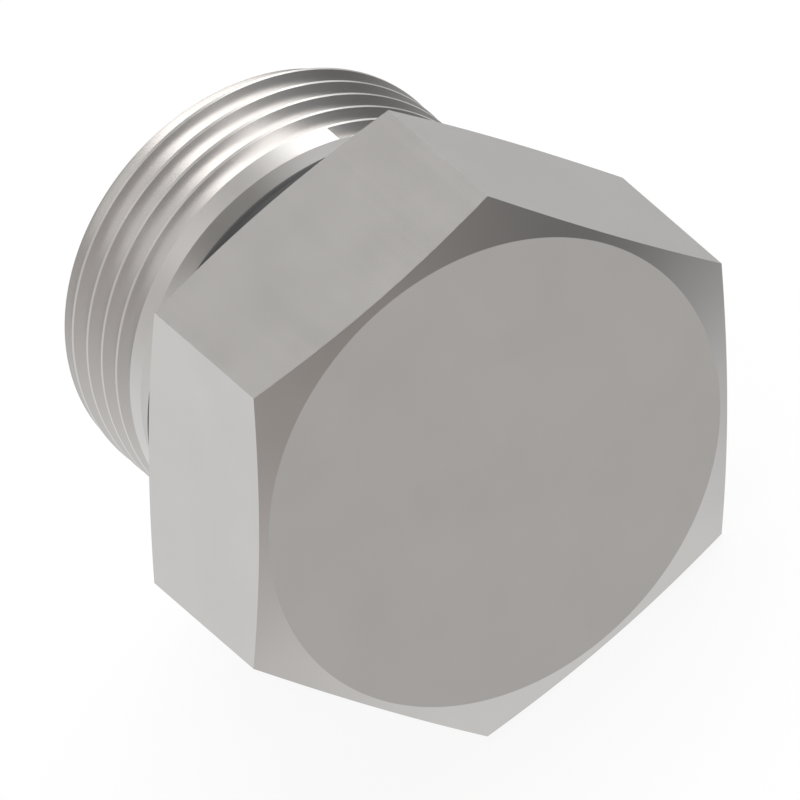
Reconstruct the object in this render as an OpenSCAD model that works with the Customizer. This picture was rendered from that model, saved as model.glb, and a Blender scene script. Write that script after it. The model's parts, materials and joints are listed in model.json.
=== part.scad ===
// Hexagon-head screw plug with a rubber sealing ring in the groove behind the head.
// The plug lies on one flat of its hexagon. Its axis is Y, the thread points to +Y, and the
// origin is on the axis in the plane of the head's back face, which is the sealing face.

/* [Hexagon head] */
// Width across the flats of the hexagon
hex_af = 28; // [26:0.5:36]
// Length of the head, from its front face to the sealing face
head_l = 11.7; // [8:0.1:16]
// Gap between the round flat on each end and the hexagon's flats
face_inset = 0.5; // [0.2:0.1:1]
// Angle of the chamfer on both ends of the head
head_chamfer_angle = 15; // [10:1:30]

/* [Threaded stud] */
// Length of the stud, from the sealing face to its tip
stud_l = 13.4; // [11:0.1:25]
// Outside diameter of the thread
thread_d = 23.8; // [23:0.1:25]
// Thread pitch
thread_pitch = 1.5; // [1:0.25:2]
// Included angle of the thread groove
thread_angle = 60; // [55:5:60]
// Angle about the axis at which the thread groove starts, up from +X towards the top
thread_start = 60; // [0:5:360]
// Length of the chamfer at the tip
tip_chamfer = 1; // [0.5:0.1:2]

/* [Ring groove] */
// Diameter of the neck that the ring sits on
neck_d = 21.4; // [20:0.1:22]
// Free length of the neck beside the ring
neck_play = 0.73; // [0.2:0.01:1.5]
// Angle between the axis and the cone from the neck up to the thread
cone_angle = 45; // [30:5:60]

/* [Ring] */
// Thickness of the ring's round section
ring_section = 2.4; // [1.5:0.1:3]
// Clearance of the ring on the neck and on the sealing face
ring_clearance = 0.02; // [0.01:0.01:0.1]

/* [Hidden] */

round_steps = 96;
section_steps = 48;
// Steps in one turn of the thread groove
turn_steps = 48;
// Reach of a cutting or joining shape past the surface that it cuts or joins
overlap = 1;

hex_corner_r = hex_af / 2 / cos(30);
face_r = hex_af / 2 - face_inset;

neck_r = neck_d / 2;
thread_r = thread_d / 2;
neck_l = ring_clearance + ring_section + neck_play;
// Distance from the sealing face to the plain land that leads into the thread
land_start = neck_l + (thread_r - neck_r) / tan(cone_angle);

ring_r = neck_r + ring_clearance + ring_section / 2;
ring_z = ring_clearance + ring_section / 2;

// Thread form: narrow flat crests, and straight flanks down to a narrow flat root
crest_flat = thread_pitch / 8;
groove_depth = 0.6134 * thread_pitch;
flank_slope = tan(thread_angle / 2);
groove_half_w = (thread_pitch - crest_flat) / 2;
// The groove's cutter reaches past the crests, but stays clear of its own next turn
cutter_reach = 0.6 * (crest_flat / 2) / flank_slope;
// The groove starts with its edge on the land's edge and runs out through the tip
groove_z = land_start + groove_half_w;
groove_turns = (stud_l - groove_z) / thread_pitch + 1;

// Turns a shape that is modelled upright so that it lies along Y with its top towards +Y
module lay_down() {
    rotate([-90, 0, 0]) children();
}

// Body of revolution that trims both ends of the hexagon to a chamfered round
module head_envelope() {
    reach_r = hex_corner_r + overlap;
    chamfer_h = (reach_r - face_r) * tan(head_chamfer_angle);
    rotate_extrude($fn = round_steps)
        polygon([
            [0, -head_l],
            [face_r, -head_l],
            [reach_r, chamfer_h - head_l],
            [reach_r, -chamfer_h],
            [face_r, 0],
            [0, 0]
        ]);
}

module hex_head() {
    intersection() {
        translate([0, 0, -head_l]) cylinder(r = hex_corner_r, h = head_l, $fn = 6);
        head_envelope();
    }
}

// Neck, cone, land and thread blank, with the chamfered tip
module stud_blank() {
    rotate_extrude($fn = round_steps)
        polygon([
            [0, -overlap],
            [neck_r, -overlap],
            [neck_r, neck_l],
            [thread_r, land_start],
            [thread_r, stud_l - tip_chamfer],
            [thread_r - tip_chamfer, stud_l],
            [0, stud_l]
        ]);
}

// Solid that sweeps the groove's section along a right-hand helix
module thread_groove() {
    outer_half_w = groove_half_w + cutter_reach * flank_slope;
    root_half_w = groove_half_w - groove_depth * flank_slope;
    section = [
        [thread_r - groove_depth, -root_half_w],
        [thread_r + cutter_reach, -outer_half_w],
        [thread_r + cutter_reach, outer_half_w],
        [thread_r - groove_depth, root_half_w]
    ];
    corners = len(section);
    rings = ceil(groove_turns * turn_steps);
    points = [
        for (i = [0:rings], p = section)
            let (turned = 360 * i / turn_steps, a = turned - thread_start)
                [p[0] * cos(a), p[0] * sin(a), p[1] + groove_z + thread_pitch * turned / 360]
    ];
    sides = [
        for (i = [0:rings - 1], k = [0:corners - 1])
            let (a = i * corners, b = a + corners, next = (k + 1) % corners)
                each [[a + k, b + next, b + k], [a + k, a + next, b + next]]
    ];
    start_cap = [[for (k = [corners - 1:-1:0]) k]];
    end_cap = [[for (k = [0:corners - 1]) rings * corners + k]];
    polyhedron(points = points, faces = concat(start_cap, sides, end_cap));
}

module plug_body() {
    color("silver")
        lay_down()
            difference() {
                union() {
                    hex_head();
                    stud_blank();
                }
                thread_groove();
            }
}

module o_ring() {
    color("dimgray")
        lay_down()
            rotate_extrude($fn = round_steps)
                translate([ring_r, ring_z]) circle(d = ring_section, $fn = section_steps);
}

plug_body();
o_ring();
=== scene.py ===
"""Looks of a hexagon-head screw plug with a rubber sealing ring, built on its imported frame.

The plug lies on one flat of its hexagon. Its axis is Y, the threaded stud points to +Y and the
origin is on the axis in the plane of the head's back face. Lengths are in millimetres until a
mesh is made.
"""

import json
import math

import bpy
import bmesh
import numpy as np
from mathutils import Matrix, Vector


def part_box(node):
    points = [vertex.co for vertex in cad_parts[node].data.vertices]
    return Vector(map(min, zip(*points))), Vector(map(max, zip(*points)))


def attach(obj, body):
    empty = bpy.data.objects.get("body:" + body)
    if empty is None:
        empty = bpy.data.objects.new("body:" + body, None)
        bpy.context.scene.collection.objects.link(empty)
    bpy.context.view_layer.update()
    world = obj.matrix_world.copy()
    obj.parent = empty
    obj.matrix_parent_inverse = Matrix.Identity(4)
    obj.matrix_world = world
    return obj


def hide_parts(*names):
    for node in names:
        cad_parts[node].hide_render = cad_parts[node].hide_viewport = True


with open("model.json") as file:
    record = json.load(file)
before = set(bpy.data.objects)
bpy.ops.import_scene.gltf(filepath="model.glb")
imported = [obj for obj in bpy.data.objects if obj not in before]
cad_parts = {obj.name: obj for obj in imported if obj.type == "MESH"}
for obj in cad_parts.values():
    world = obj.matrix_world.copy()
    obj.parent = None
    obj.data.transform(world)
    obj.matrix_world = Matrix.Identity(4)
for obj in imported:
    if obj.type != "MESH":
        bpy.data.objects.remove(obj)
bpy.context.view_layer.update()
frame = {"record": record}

MM = 0.001

# Sizes that the frame gives
body_low, body_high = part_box("plug_body")
ring_low, ring_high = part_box("o_ring")
mounts = {mount["name"]: mount for mount in frame["record"]["mounts"]}
HEX_AF = round((body_high.z - body_low.z) / MM, 2)
HEAD_L = round(-body_low.y / MM, 2)
STUD_L = round(body_high.y / MM, 2)
THREAD_R = mounts["thread"]["dims"]["r_mm"]
RING_SECTION = round((ring_high.y - ring_low.y) / MM, 1)
RING_OUTER_R = round(ring_high.x / MM, 2)
RING_Y = (ring_high.y + ring_low.y) / 2 / MM
FLOOR_Z = body_low.z

# Head: the round flat on each end, and the chamfer round it
FACE_INSET = 0.5
FACE_R = HEX_AF / 2 - FACE_INSET
HEAD_CHAMFER = math.tan(math.radians(15))
HEX_CORNER_R = HEX_AF / 2 / math.cos(math.pi / 6)

# Neck, and the land that a 45 degree cone leads up to
NECK_R = 10.7
NECK_L = 3.15
LAND_START = 4.35

# Thread, whose groove is as deep as a standard 60 degree thread's, as a share of the pitch
PITCH = 1.5
THREAD_START = math.radians(60)
DEPTH_SHARE = 0.6134
GROOVE_DEPTH = DEPTH_SHARE * PITCH
FLANK_SLOPE = math.tan(math.radians(30))
CREST_FLAT = PITCH / 8
GROOVE_HALF_W = (PITCH - CREST_FLAT) / 2
ROOT_HALF_W = GROOVE_HALF_W - GROOVE_DEPTH * FLANK_SLOPE
GROOVE_Y = LAND_START + GROOVE_HALF_W
TIP_CHAMFER = 1.0
TIP_START = STUD_L - TIP_CHAMFER
RUN_OUT = TIP_START + GROOVE_DEPTH
GROOVES = math.ceil((RUN_OUT - GROOVE_Y + GROOVE_HALF_W) / PITCH) + 1

# Small roundings, as the distance from the sharp edge at which each one starts
EDGE_EASE = 0.002
CREST_EASE = 0.003
ROOT_EASE = 0.08
NECK_EASE = 0.1

# Degrees between the columns of the plug's mesh
COLUMN_STEP = 1.0


def eased(corners, ease):
    """Profiles with each inner corner replaced by the two ends and the middle of a small rounding."""
    before, at, after = corners[:, :-2], corners[:, 1:-1], corners[:, 2:]
    back = before - at
    ahead = after - at
    back_l = np.linalg.norm(back, axis=2, keepdims=True)
    ahead_l = np.linalg.norm(ahead, axis=2, keepdims=True)
    reach = np.minimum(ease[..., None], 0.45 * np.minimum(back_l, ahead_l))
    start = at + back / np.maximum(back_l, 1e-9) * reach
    end = at + ahead / np.maximum(ahead_l, 1e-9) * reach
    middle = 0.25 * start + 0.5 * at + 0.25 * end
    inner = np.stack([start, middle, end], axis=2).reshape(len(corners), -1, 2)
    return np.concatenate([corners[:, :1], inner, corners[:, -1:]], axis=1)


def column_angles():
    """Degrees turned from the thread's start, once round, with three columns at each hexagon corner."""
    at_corner = math.degrees(EDGE_EASE * math.cos(math.pi / 6) / HEX_CORNER_R)
    angles = set(np.arange(0, 360 + COLUMN_STEP / 2, COLUMN_STEP))
    for corner in range(0, 361, 60):
        angles |= {corner - at_corner, corner + at_corner}
    return np.array(sorted(angle for angle in angles if 0 <= angle <= 360))


def hexagon_radius(turned):
    """Distance from the axis to the hexagon, whose corners are slightly rounded."""
    from_flat = np.radians(turned % 60 - 30)
    corner_drop = EDGE_EASE / math.tan(math.pi / 6) * (1 / math.cos(math.pi / 6) - 1)
    return HEX_AF / 2 / np.cos(from_flat) - np.where(turned % 60 == 0, corner_drop, 0)


def stud_radius(y):
    """Radius of the uncut stud at the land, the thread and the tip's chamfer."""
    return np.minimum(THREAD_R, THREAD_R - (y - TIP_START))


def groove_corners(turned, turn):
    """Where one turn of the thread groove starts, bottoms and ends in each column, as (radius, y)."""
    middle = GROOVE_Y + PITCH * (turned / 360 + turn)
    first = middle - GROOVE_HALF_W
    last = middle + GROOVE_HALF_W
    on_chamfer = (first - FLANK_SLOPE * TIP_START) / (1 - FLANK_SLOPE)
    first = np.minimum(np.where(first <= TIP_START, first, on_chamfer), RUN_OUT)
    on_chamfer = (last + FLANK_SLOPE * TIP_START) / (1 + FLANK_SLOPE)
    last = np.minimum(np.where(last <= TIP_START, last, on_chamfer), RUN_OUT)
    root_r = np.full(len(turned), THREAD_R - GROOVE_DEPTH)
    root_first = np.minimum(middle - ROOT_HALF_W, RUN_OUT)
    root_last = np.minimum(middle + ROOT_HALF_W, RUN_OUT)
    return [
        (stud_radius(first), first),
        (root_r, root_first),
        (root_r, root_last),
        (stud_radius(last), last),
    ]


def plug_profile(turned):
    """Corner points, roundings and surfaces of the plug's profile in each column."""
    same = np.ones(len(turned))
    hex_r = hexagon_radius(turned)
    chamfer_l = (hex_r - FACE_R) * HEAD_CHAMFER
    corners = [
        (0 * same, -HEAD_L * same),
        (FACE_R * same, -HEAD_L * same),
        (hex_r, chamfer_l - HEAD_L),
        (hex_r, -chamfer_l),
        (FACE_R * same, 0 * same),
        (NECK_R * same, 0 * same),
        (NECK_R * same, NECK_L * same),
        (THREAD_R * same, LAND_START * same),
    ]
    # The land's edge loses its rounding where the groove starts and where the last turn meets it
    land_ease = CREST_EASE * np.clip(np.minimum(turned, 360 - turned) / 5, 0, 1)
    ease = [EDGE_EASE * same] * 4 + [NECK_EASE * same] * 2 + [land_ease]
    kinds = ["turned", "turned", "drawn", "turned", "turned", "turned", "turned", "thread"]
    is_groove = [False] * len(kinds)
    turns = [groove_corners(turned, turn) for turn in range(GROOVES + 1)]
    for groove, following in zip(turns, turns[1:]):
        last, first = groove[3][1], following[0][1]
        quarter = (first - last) / 4
        crest = np.clip(TIP_START, last + quarter, first - quarter)
        corners += groove + [(stud_radius(crest), crest)]
        turn_ease = [CREST_EASE, ROOT_EASE, ROOT_EASE, CREST_EASE, CREST_EASE]
        ease += [reach * same for reach in turn_ease]
        kinds += ["thread"] * 5
        is_groove += [True, True, True, False, False]
    corners += [((THREAD_R - TIP_CHAMFER) * same, STUD_L * same), (0 * same, STUD_L * same)]
    ease += [EDGE_EASE * same]
    kinds += ["turned"]
    is_groove += [False]
    points = np.stack([np.stack(corner, axis=1) for corner in corners], axis=1)
    return points, np.stack(ease, axis=1), kinds, is_groove


def row_of(corner, part):
    """Row of a profile corner's rounding: part 0 is its start, 1 its middle and 2 its end."""
    return 3 * corner - 2 + part


def profile_normals(turned, profile, kinds, is_groove):
    """Normals of the exact surfaces at each point of the profile, in each column."""
    angle = THREAD_START - np.radians(turned)
    # A flat of the hexagon faces one way all over, and its rounded corner faces between two flats
    flat_middle = np.where(turned % 60 == 0, turned, 60 * np.floor(turned / 60) + 30)
    flat_angle = THREAD_START - np.radians(flat_middle)
    normals = np.zeros(profile.shape[:2] + (3,))
    for surface, kind in enumerate(kinds):
        rows = [3 * surface, 3 * surface + 1]
        step = profile[:, rows[1]] - profile[:, rows[0]]
        step = step / np.maximum(np.linalg.norm(step, axis=1, keepdims=True), 1e-9)
        out, forward = step[:, 1], -step[:, 0]
        facing = flat_angle if kind == "drawn" else angle
        for row in rows:
            # The groove's walls also turn a little round the axis, because they climb along it
            climb = PITCH / (2 * math.pi) / profile[:, row, 0] if is_groove[surface] else 0
            aside = forward * climb
            normals[:, row, 0] = out * np.cos(facing) - aside * np.sin(facing)
            normals[:, row, 1] = forward
            normals[:, row, 2] = out * np.sin(facing) + aside * np.cos(facing)
    normals[:, 2::3] = normals[:, 1:-1:3] + normals[:, 3::3]
    return normals / np.maximum(np.linalg.norm(normals, axis=2, keepdims=True), 1e-9)


def plug_mesh(materials):
    """One closed surface of the plug, in columns round the axis, with the thread's start cut square."""
    turned = column_angles()
    corners, ease, kinds, is_groove = plug_profile(turned)
    profile = eased(corners, ease)
    normals = profile_normals(turned, profile, kinds, is_groove).reshape(-1, 3)
    columns, rows = profile.shape[:2]
    angle = THREAD_START - np.radians(turned)[:, None]
    radius, y = profile[..., 0], profile[..., 1]
    points = np.stack([radius * np.cos(angle), y, radius * np.sin(angle)], axis=2).reshape(-1, 3) * MM

    def vertex(column, row):
        return column * rows + row

    land = kinds.index("thread")
    first_groove = land + 1
    last_column = columns - 1
    faces, face_kinds = [], []
    for column in range(last_column):
        for row in range(rows - 1):
            face = [vertex(column, row), vertex(column + 1, row)]
            if column == last_column - 1 and row == row_of(land, 2):
                face.append(vertex(0, row_of(first_groove + 3, 2)))
                face += [vertex(0, row_of(first_groove + 4, part)) for part in range(3)]
            face += [vertex(column + 1, row + 1), vertex(column, row + 1)]
            faces.append(face)
            face_kinds.append("edge" if row % 3 else kinds[row // 3])
    corner_normals = [normals[point] for face in faces for point in face]
    start_wall = [vertex(0, row) for row in range(row_of(land, 2), row_of(first_groove + 3, 2) + 1)]
    faces.append(start_wall)
    face_kinds.append("thread")
    corner_normals += [(math.sin(THREAD_START), 0, -math.cos(THREAD_START))] * len(start_wall)

    mesh = bpy.data.meshes.new("plug")
    mesh.from_pydata([tuple(point) for point in points], [], faces)
    names = list(materials)
    for name in names:
        mesh.materials.append(materials[name])
    mesh.polygons.foreach_set("material_index", [names.index(kind) for kind in face_kinds])
    kept = mesh.attributes.new("exact_normal", "FLOAT_VECTOR", "CORNER")
    kept.data.foreach_set("vector", np.array(corner_normals, dtype=np.float32).ravel())
    weld(mesh)
    exact = np.empty(3 * len(mesh.loops), dtype=np.float32)
    mesh.attributes["exact_normal"].data.foreach_get("vector", exact)
    mesh.attributes.remove(mesh.attributes["exact_normal"])
    mesh.normals_split_custom_set(exact.reshape(-1, 3))
    return mesh


def weld(mesh):
    """Joins points that coincide and drops what is left without area."""
    bm = bmesh.new()
    bm.from_mesh(mesh)
    bmesh.ops.remove_doubles(bm, verts=bm.verts, dist=5e-8)
    bmesh.ops.dissolve_degenerate(bm, edges=bm.edges, dist=5e-8)
    for face in bm.faces:
        face.smooth = True
    bm.to_mesh(mesh)
    bm.free()


def ring_mesh(material):
    """The ring: a round section with the fine line that its mould leaves round the outside."""
    section_steps, round_steps = 72, 288
    line_half_angle, line_height = math.radians(2.0), 0.012
    around = np.linspace(0, 2 * math.pi, round_steps, endpoint=False)
    section = set(np.linspace(0, 2 * math.pi, section_steps, endpoint=False))
    section |= {share * line_half_angle % (2 * math.pi) for share in (-1, -0.5, 0.5, 1)}
    section = np.array(sorted(section))
    from_line = np.minimum(section, 2 * math.pi - section) / line_half_angle
    section_r = RING_SECTION / 2 - line_height * np.clip(from_line, 0, 1)
    centre_r = RING_OUTER_R - RING_SECTION / 2
    radius = centre_r + section_r * np.cos(section)
    y = RING_Y + section_r * np.sin(section)
    grid = np.stack(
        [
            np.outer(np.cos(around), radius),
            np.tile(y, (round_steps, 1)),
            np.outer(np.sin(around), radius),
        ],
        axis=2,
    )
    steps = len(section)
    faces = []
    for i in range(round_steps):
        for j in range(steps):
            ahead, up = (i + 1) % round_steps, (j + 1) % steps
            faces.append([i * steps + j, i * steps + up, ahead * steps + up, ahead * steps + j])
    mesh = bpy.data.meshes.new("seal_ring")
    mesh.from_pydata([tuple(point) for point in grid.reshape(-1, 3) * MM], [], faces)
    mesh.materials.append(material)
    weld(mesh)
    return mesh


class Nodes:
    """Short calls for building a material's or the world's node tree."""

    def __init__(self, tree):
        self.tree = tree
        tree.nodes.clear()

    def add(self, kind, inputs=None, **settings):
        node = self.tree.nodes.new(kind)
        for name, value in settings.items():
            setattr(node, name, value)
        for name, value in (inputs or {}).items():
            if isinstance(value, bpy.types.NodeSocket):
                self.tree.links.new(value, node.inputs[name])
            else:
                node.inputs[name].default_value = value
        return node

    def math(self, operation, first, second=0.0, clamp=False):
        node = self.add("ShaderNodeMath", {0: first, 1: second}, operation=operation, use_clamp=clamp)
        return node.outputs[0]

    def mix(self, share, first, second):
        node = self.add("ShaderNodeMix", {0: share, 6: first, 7: second}, data_type="RGBA")
        return node.outputs[2]

    def spread(self, value, low, high, to_low, to_high, smooth=False):
        inputs = {0: value, 1: low, 2: high, 3: to_low, 4: to_high}
        kind = "SMOOTHSTEP" if smooth else "LINEAR"
        return self.add("ShaderNodeMapRange", inputs, interpolation_type=kind).outputs[0]


STEEL_COLOUR = (0.56, 0.547, 0.534, 1)
# How much of the colour is left in the steel's darker clouds, and how far drawn lines are stretched
CLOUD_SHADE = 0.965
DRAWN_STRETCH = 0.02


def steel(name, roughness, line_size, line_height, along_axis):
    """Machined steel with its tool's fine lines: round the axis, or along it on drawn bar."""
    material = bpy.data.materials.new(name)
    material.use_nodes = True
    nodes = Nodes(material.node_tree)
    place = nodes.add("ShaderNodeTexCoord").outputs["Object"]
    split = nodes.add("ShaderNodeSeparateXYZ", {0: place})
    x, y, z = split.outputs
    if along_axis:
        stretched = nodes.math("MULTIPLY", y, DRAWN_STRETCH)
        lines_at = nodes.add("ShaderNodeCombineXYZ", {0: x, 1: stretched, 2: z}).outputs[0]
    else:
        from_axis = nodes.add("ShaderNodeCombineXYZ", {0: x, 1: z}).outputs[0]
        radius = nodes.add("ShaderNodeVectorMath", {0: from_axis}, operation="LENGTH").outputs["Value"]
        lines_at = nodes.add("ShaderNodeCombineXYZ", {0: radius, 1: y}).outputs[0]
    lines = nodes.add(
        "ShaderNodeTexNoise",
        {"Vector": lines_at, "Scale": 1 / (line_size * MM), "Detail": 3.0, "Roughness": 0.6},
    ).outputs[0]
    clouds = nodes.add("ShaderNodeTexNoise", {"Vector": place, "Scale": 220.0, "Detail": 3.0}).outputs[0]
    grain = nodes.add("ShaderNodeTexNoise", {"Vector": place, "Scale": 3500.0, "Detail": 2.0}).outputs[0]

    darker = [channel * CLOUD_SHADE for channel in STEEL_COLOUR[:3]] + [1]
    colour = nodes.mix(nodes.spread(clouds, 0.35, 0.65, 0.0, 1.0), darker, STEEL_COLOUR)
    rough = nodes.math("ADD", nodes.spread(lines, 0.3, 0.7, -0.008, 0.008), roughness)
    rough = nodes.math("ADD", rough, nodes.spread(clouds, 0.3, 0.7, -0.006, 0.006))
    height = nodes.math("ADD", lines, nodes.math("MULTIPLY", grain, 0.3))
    bump = nodes.add(
        "ShaderNodeBump",
        {"Height": height, "Distance": line_height * MM, "Strength": 1.0},
    ).outputs[0]
    shader = nodes.add(
        "ShaderNodeBsdfPrincipled",
        {"Base Color": colour, "Metallic": 1.0, "Roughness": rough, "Normal": bump},
    )
    nodes.add("ShaderNodeOutputMaterial", {"Surface": shader.outputs[0]})
    return material


def rubber():
    """Black moulded rubber with a faint bloom."""
    material = bpy.data.materials.new("rubber")
    material.use_nodes = True
    nodes = Nodes(material.node_tree)
    place = nodes.add("ShaderNodeTexCoord").outputs["Object"]
    bloom = nodes.add("ShaderNodeTexNoise", {"Vector": place, "Scale": 500.0, "Detail": 4.0}).outputs[0]
    grain = nodes.add("ShaderNodeTexNoise", {"Vector": place, "Scale": 12000.0, "Detail": 2.0}).outputs[0]
    colour = nodes.mix(
        nodes.spread(bloom, 0.35, 0.7, 0.0, 1.0), (0.03, 0.03, 0.03, 1), (0.04, 0.04, 0.04, 1)
    )
    rough = nodes.spread(bloom, 0.3, 0.7, 0.46, 0.54)
    bump = nodes.add(
        "ShaderNodeBump",
        {"Height": grain, "Distance": 0.004 * MM, "Strength": 1.0},
    ).outputs[0]
    shader = nodes.add(
        "ShaderNodeBsdfPrincipled",
        {"Base Color": colour, "Roughness": rough, "Specular IOR Level": 0.25, "Normal": bump},
    )
    nodes.add("ShaderNodeOutputMaterial", {"Surface": shader.outputs[0]})
    return material


def piece(mesh, node):
    """An object for a mesh that stands for a CAD node."""
    made = bpy.data.objects.new(mesh.name, mesh)
    bpy.context.scene.collection.objects.link(made)
    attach(made, "root")
    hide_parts(node)
    return made


def seen_by_eye(nodes):
    """1 for camera, glossy and transmission rays, 0 for the rest."""
    path = nodes.add("ShaderNodeLightPath").outputs
    either = nodes.math("ADD", path["Is Camera Ray"], path["Is Glossy Ray"])
    return nodes.math("ADD", either, path["Is Transmission Ray"], clamp=True)


# The floor's half width in metres, its own grey, and how much of what is seen is its glow
FLOOR_HALF = 1.5
FLOOR_GREY = 0.95
FLOOR_GLOW = 0.9


def make_floor():
    """White floor that glows enough to stay white and still takes the plug's soft shadow."""
    corners = [(-FLOOR_HALF, -FLOOR_HALF), (FLOOR_HALF, -FLOOR_HALF)]
    corners += [(FLOOR_HALF, FLOOR_HALF), (-FLOOR_HALF, FLOOR_HALF)]
    mesh = bpy.data.meshes.new("floor")
    mesh.from_pydata([corner + (FLOOR_Z,) for corner in corners], [], [(0, 1, 2, 3)])
    material = bpy.data.materials.new("floor")
    material.use_nodes = True
    nodes = Nodes(material.node_tree)
    glow = nodes.add("ShaderNodeEmission", {"Color": (1, 1, 1, 1), "Strength": 1.0}).outputs[0]
    grey = (FLOOR_GREY, FLOOR_GREY, FLOOR_GREY, 1)
    matt = nodes.add("ShaderNodeBsdfDiffuse", {"Color": grey}).outputs[0]
    share = nodes.math("MULTIPLY", seen_by_eye(nodes), FLOOR_GLOW)
    shader = nodes.add("ShaderNodeMixShader", {0: share, 1: matt, 2: glow}).outputs[0]
    nodes.add("ShaderNodeOutputMaterial", {"Surface": shader})
    mesh.materials.append(material)
    floor = bpy.data.objects.new("floor", mesh)
    bpy.context.scene.collection.objects.link(floor)
    # The steel mirrors the backdrop below the horizon too, so it doesn't show the floor
    floor.visible_glossy = False


# Brightness of the world on matt surfaces
WORLD_LIGHT = 0.2

# Darker zones of the backdrop that only reflections show: azimuth, elevation, reach, colour
DARK_ZONES = [
    (42.8, -14.8, 55, (0.09, 0.09, 0.09)),
    (-8.2, -0.3, 67, (0.45, 0.41, 0.39)),
    (-6.7, 53.0, 50, (0.13, 0.12, 0.11)),
    (165.3, 27.3, 37, (0.32, 0.31, 0.30)),
    (132.2, -24.2, 22, (0.10, 0.10, 0.10)),
    (-162.7, 15.1, 40, (0.56, 0.53, 0.52)),
]


def direction(azimuth, elevation):
    """Unit vector: azimuth 0 is -Y and 90 is +X, in degrees."""
    a, e = math.radians(azimuth), math.radians(elevation)
    return Vector((math.sin(a) * math.cos(e), -math.cos(a) * math.cos(e), math.sin(e)))


def make_world():
    """White backdrop, with soft darker zones for reflections, and an even light on matt surfaces."""
    world = bpy.data.worlds.new("studio")
    bpy.context.scene.world = world
    world.use_nodes = True
    nodes = Nodes(world.node_tree)
    looking = nodes.add("ShaderNodeTexCoord").outputs["Generated"]
    shade = (1, 1, 1, 1)
    for azimuth, elevation, reach, colour in DARK_ZONES:
        towards = nodes.add(
            "ShaderNodeVectorMath",
            {0: looking, 1: direction(azimuth, elevation)},
            operation="DOT_PRODUCT",
        ).outputs["Value"]
        away = nodes.math("DEGREES", nodes.math("ARCCOSINE", towards))
        fading = nodes.spread(away, 0.0, reach, 0.0, 1.0, smooth=True)
        zone = nodes.mix(fading, colour + (1,), (1, 1, 1, 1))
        shade = nodes.add(
            "ShaderNodeMix",
            {0: 1.0, 6: shade, 7: zone},
            data_type="RGBA",
            blend_type="MULTIPLY",
        ).outputs[2]
    glossy = nodes.add("ShaderNodeLightPath").outputs["Is Glossy Ray"]
    shade = nodes.mix(glossy, (1, 1, 1, 1), shade)
    backdrop = nodes.add("ShaderNodeBackground", {"Color": shade, "Strength": 1.0}).outputs[0]
    light = nodes.add("ShaderNodeBackground", {"Color": (1, 1, 1, 1), "Strength": WORLD_LIGHT}).outputs[0]
    both = nodes.add("ShaderNodeMixShader", {0: seen_by_eye(nodes), 1: light, 2: backdrop}).outputs[0]
    nodes.add("ShaderNodeOutputWorld", {"Surface": both})


# Softboxes: azimuth, elevation, roll, width and height in metres, and brightness
SOFTBOXES = {
    "key": (119.1, 45.9, -3.1, 0.54, 0.90, 3.20),
    "overhead": (-103.2, 74.0, 0.0, 0.96, 0.75, 0.72),
}
SOFTBOX_DISTANCE = 0.6


def make_softboxes():
    for name, (azimuth, elevation, roll, width, height, brightness) in SOFTBOXES.items():
        data = bpy.data.lights.new(name, "AREA")
        data.shape = "RECTANGLE"
        data.size = width
        data.size_y = height
        # This energy gives the brightness that is seen from in front of the lamp
        data.energy = brightness * math.pi * width * height
        lamp = bpy.data.objects.new(name, data)
        bpy.context.scene.collection.objects.link(lamp)
        out = direction(azimuth, elevation)
        level = Vector((0, 0, 1)).cross(out).normalized()
        across = Matrix.Rotation(math.radians(roll), 3, out) @ level
        turn = Matrix((across, out.cross(across), out)).transposed().to_4x4()
        lamp.matrix_world = Matrix.Translation(out * SOFTBOX_DISTANCE) @ turn


# The photograph's view: parallel, from the front, the left and above, and slightly rolled
VIEW_RIGHT = Vector((0.75, -0.5, -0.4330))
VIEW_UP = Vector((0.6495, 0.4330, 0.625))
VIEW_BACK = Vector((-0.125, -0.75, 0.6495))
VIEW_WIDTH = 41.433
# Place of the image's centre, right of and above the centre of the head's front corners
VIEW_CENTRE = (-4.5396, 3.4292)
FRONT_CORNERS_Y = -10.99
# Metres from that centre to the camera
CAMERA_DISTANCE = 0.3


def make_camera():
    data = bpy.data.cameras.new("camera")
    data.type = "ORTHO"
    data.ortho_scale = VIEW_WIDTH * MM
    data.clip_start = 0.01
    data.clip_end = 5
    camera = bpy.data.objects.new("camera", data)
    bpy.context.scene.collection.objects.link(camera)
    aim = Vector((0, FRONT_CORNERS_Y, 0)) + VIEW_RIGHT * VIEW_CENTRE[0] + VIEW_UP * VIEW_CENTRE[1]
    place = aim * MM + VIEW_BACK * CAMERA_DISTANCE
    turn = Matrix((VIEW_RIGHT, VIEW_UP, VIEW_BACK)).transposed().to_4x4()
    camera.matrix_world = Matrix.Translation(place) @ turn
    bpy.context.scene.camera = camera


def make_plug():
    materials = {
        "turned": steel("steel_turned", 0.24, 0.35, 0.0006, along_axis=False),
        "drawn": steel("steel_drawn", 0.24, 0.35, 0.0003, along_axis=True),
        "thread": steel("steel_thread", 0.25, 0.12, 0.0005, along_axis=False),
        "edge": steel("steel_edge", 0.18, 0.1, 0.0002, along_axis=False),
    }
    piece(plug_mesh(materials), "plug_body")


make_camera()
make_plug()
piece(ring_mesh(rubber()), "o_ring")
make_floor()
make_world()
make_softboxes()

bpy.context.scene.view_settings.view_transform = "Standard"
